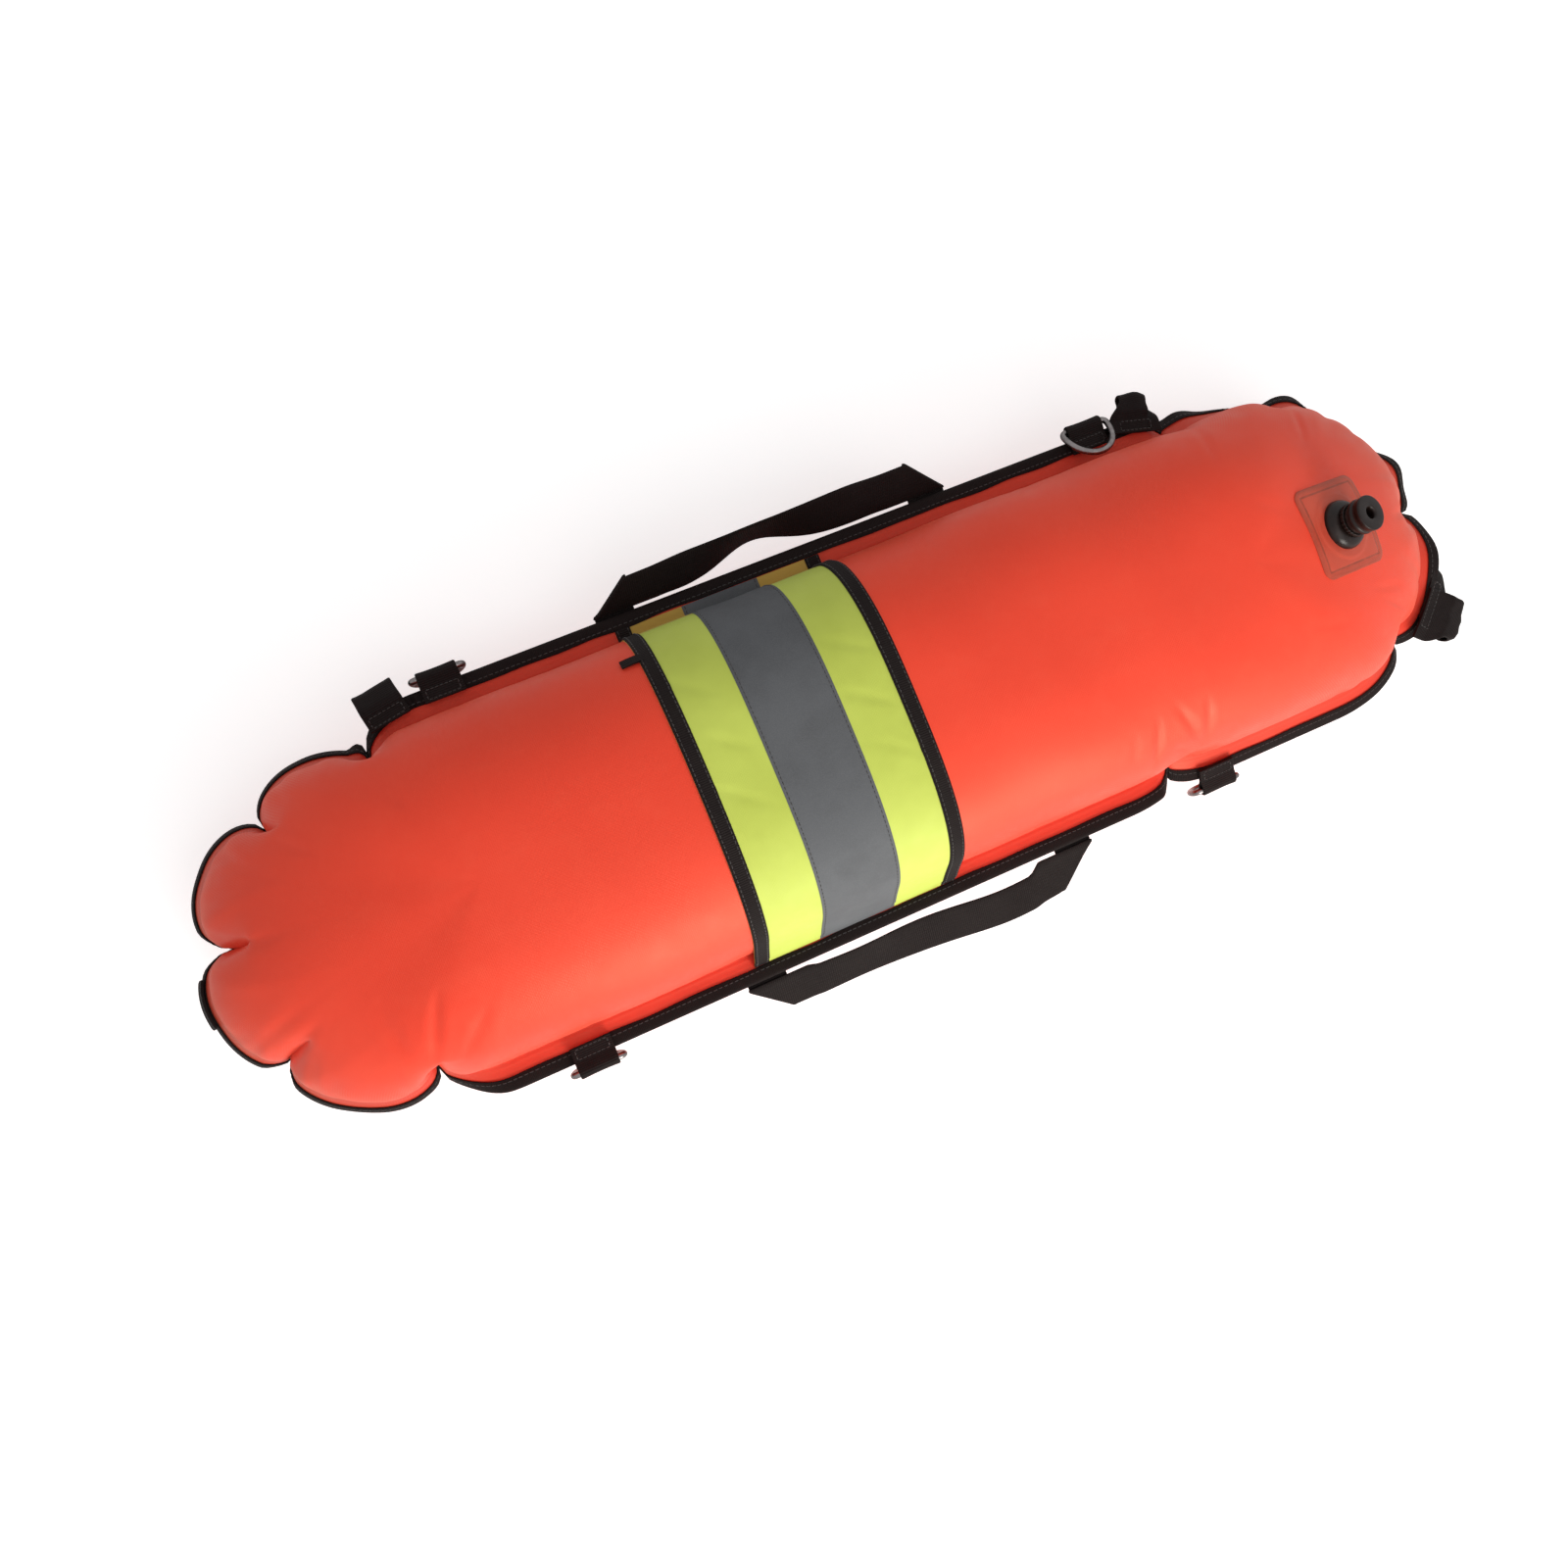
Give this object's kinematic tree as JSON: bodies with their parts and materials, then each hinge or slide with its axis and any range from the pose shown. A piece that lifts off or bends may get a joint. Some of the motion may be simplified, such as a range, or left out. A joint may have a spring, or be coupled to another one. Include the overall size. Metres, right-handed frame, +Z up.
{
  "type": "freediving buoy",
  "caption": "Long inflatable freediving surface float of coated fabric, with a bound welded rim, carry handles, D rings, webbing loops, a reflective band and a mouth valve.",
  "frame": {"origin": "the middle of the flattened underside that the buoy lies on, below the middle of its length and width", "axes": "+X along the buoy towards the valve end, +Y across it towards the side that lies farther from the picture's camera, +Z up"},
  "size_m": [0.8486, 0.291, 0.1606],
  "materials": {
    "orange_fabric": "orange-red coated woven fabric with a slight sheen",
    "lime_fabric": "high visibility yellow-green cloth tape",
    "silver_tape": "silver-grey retroreflective film",
    "black_webbing": "black ribbed polyester webbing",
    "patch_fabric": "brownish orange coated fabric patch, welded on",
    "black_plastic": "black moulded nylon, slightly glossy",
    "black_rubber": "black sealing rubber",
    "stainless_steel": "polished stainless steel wire"
  },
  "bodies": {
    "bag": {"upper_panel": "orange_fabric", "lower_panel": "orange_fabric", "edge_binding": "black_webbing", "band_cloth": "lime_fabric", "reflective_tape": "silver_tape", "band_trim_left": "black_webbing", "band_trim_right": "black_webbing", "trim_tail": "black_webbing", "ring_keeper_far_left": "black_webbing", "ring_keeper_far_right": "black_webbing", "ring_keeper_near_left": "black_webbing", "ring_keeper_near_right": "black_webbing", "line_loop_left": "black_webbing", "line_loop_right": "black_webbing", "tow_loop": "black_webbing", "end_tab": "black_webbing", "near_handle_sewn_end_left": "black_webbing", "near_handle_sewn_end_right": "black_webbing", "far_handle_sewn_end_left": "black_webbing", "far_handle_sewn_end_right": "black_webbing", "valve_patch": "patch_fabric", "valve_flange": "patch_fabric", "valve_body": "black_plastic", "valve_spring": "stainless_steel"},
    "near_handle": {"near_handle": "black_webbing"},
    "far_handle": {"far_handle": "black_webbing"},
    "d_ring_far_left": {"d_ring_far_left": "stainless_steel"},
    "d_ring_far_right": {"d_ring_far_right": "stainless_steel"},
    "d_ring_near_left": {"d_ring_near_left": "stainless_steel"},
    "d_ring_near_right": {"d_ring_near_right": "stainless_steel"},
    "lock_ring": {"lock_ring": "black_plastic"},
    "mouthpiece": {"mouthpiece": "black_plastic", "poppet": "black_plastic", "poppet_seal": "black_rubber"}
  },
  "joints": [
    {"name": "near_handle_fold", "type": "hinge", "parent": "bag", "child": "near_handle", "pos_m": [-0.007, -0.11905, 0.07065], "axis": [-1, 0, 0], "range_deg": [-85, 60], "stiffness_Nm_per_rad": 0.05},
    {"name": "far_handle_fold", "type": "hinge", "parent": "bag", "child": "far_handle", "pos_m": [-0.007, 0.11905, 0.07065], "axis": [1, 0, 0], "range_deg": [-85, 80], "stiffness_Nm_per_rad": 0.05},
    {"name": "far_left_ring_swing", "type": "hinge", "parent": "bag", "child": "d_ring_far_left", "pos_m": [-0.2225, 0.1237, 0.078], "axis": [1, 0, 0], "range_deg": [0, 240]},
    {"name": "far_right_ring_swing", "type": "hinge", "parent": "bag", "child": "d_ring_far_right", "pos_m": [0.2115, 0.1237, 0.078], "axis": [-1, 0, 0], "range_deg": [0, 240]},
    {"name": "near_left_ring_swing", "type": "hinge", "parent": "bag", "child": "d_ring_near_left", "pos_m": [-0.223, -0.1237, 0.078], "axis": [-1, 0, 0], "range_deg": [0, 240]},
    {"name": "near_right_ring_swing", "type": "hinge", "parent": "bag", "child": "d_ring_near_right", "pos_m": [0.2085, -0.1223, 0.06511], "axis": [-1, 0, 0], "range_deg": [0, 208]},
    {"name": "lock_ring_turn", "type": "hinge", "parent": "bag", "child": "lock_ring", "pos_m": [0.313, 0, 0.13622], "axis": [0.3107, 0.0029, 0.9505], "range_deg": [0, 330]},
    {"name": "mouthpiece_press", "type": "slide", "parent": "bag", "child": "mouthpiece", "axis": [0.3107, 0.0029, 0.9505], "range_m": [-0.003, 0], "stiffness_N_per_m": 400, "springref_m": 0.002, "deforming": ["valve_spring"]}
  ]
}
